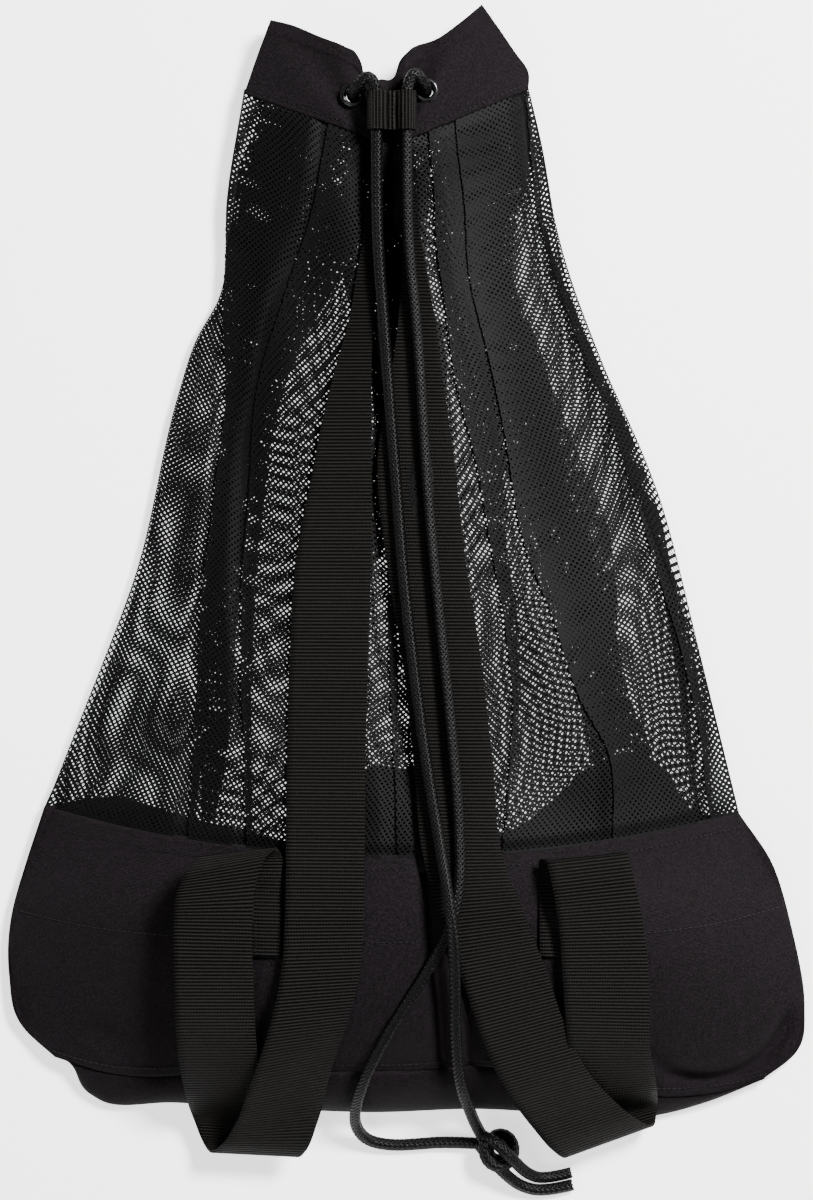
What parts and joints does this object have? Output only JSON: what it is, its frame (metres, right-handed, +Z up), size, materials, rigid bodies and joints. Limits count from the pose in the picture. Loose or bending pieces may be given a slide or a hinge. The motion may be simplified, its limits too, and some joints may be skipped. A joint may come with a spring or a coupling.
{
  "type": "mesh ball bag",
  "caption": "Drawstring mesh sack with a woven base and collar, a braided drawcord with a sliding webbing keeper, and two wide shoulder straps, lying flat.",
  "frame": {"origin": "on the floor under the middle of the bag as it lies flat, straps upwards", "axes": "+Y along the bag towards its mouth, +X across it to the right seen from above, +Z up from the floor"},
  "size_m": [0.515, 0.7694, 0.0968],
  "materials": {
    "woven_polyester": "matt plain-weave polyester",
    "polyester_mesh": "knitted hexagonal mesh",
    "webbing": "ribbed flat webbing",
    "braided_cord": "smooth braid with a soft sheen",
    "binding_tape": "matt tape",
    "thread": "polyester thread",
    "eyelet_metal": "black enamel"
  },
  "bodies": {
    "bag": {"base_wall_back": "woven_polyester", "base_wall_front": "woven_polyester", "bottom_panel": "woven_polyester", "collar_back": "woven_polyester", "collar_eyelets_back": "eyelet_metal", "collar_eyelets_front": "eyelet_metal", "collar_front": "woven_polyester", "drawcord_gather_run": "braided_cord", "drawcord_knot": "braided_cord", "drawcord_left_run": "braided_cord", "drawcord_right_run": "braided_cord", "left_strap": "webbing", "left_strap_end": "webbing", "mesh_panel_back": "polyester_mesh", "mesh_panel_front": "polyester_mesh", "mesh_seam_binding": "binding_tape", "neck_seam_binding": "binding_tape", "right_strap": "webbing", "right_strap_end": "webbing", "strap_end_stitching": "thread", "wall_seam_binding": "binding_tape"},
    "keeper": {"cord_keeper": "webbing", "keeper_stitching": "thread"},
    "left_loop": {"left_strap_loop": "webbing"},
    "right_loop": {"right_strap_loop": "webbing"}
  },
  "joints": [
    {"name": "keeper_slide", "type": "slide", "parent": "bag", "child": "keeper", "axis": [0, -1, 0], "range_m": [0, 0.05]},
    {"name": "left_loop_lift", "type": "hinge", "parent": "bag", "child": "left_loop", "pos_m": [-0.087, -0.212, 0.07878], "axis": [-1, 0, 0], "range_deg": [0, 110]},
    {"name": "right_loop_lift", "type": "hinge", "parent": "bag", "child": "right_loop", "pos_m": [0.095, -0.255, 0.07156], "axis": [-1, 0, 0], "range_deg": [0, 110]}
  ]
}
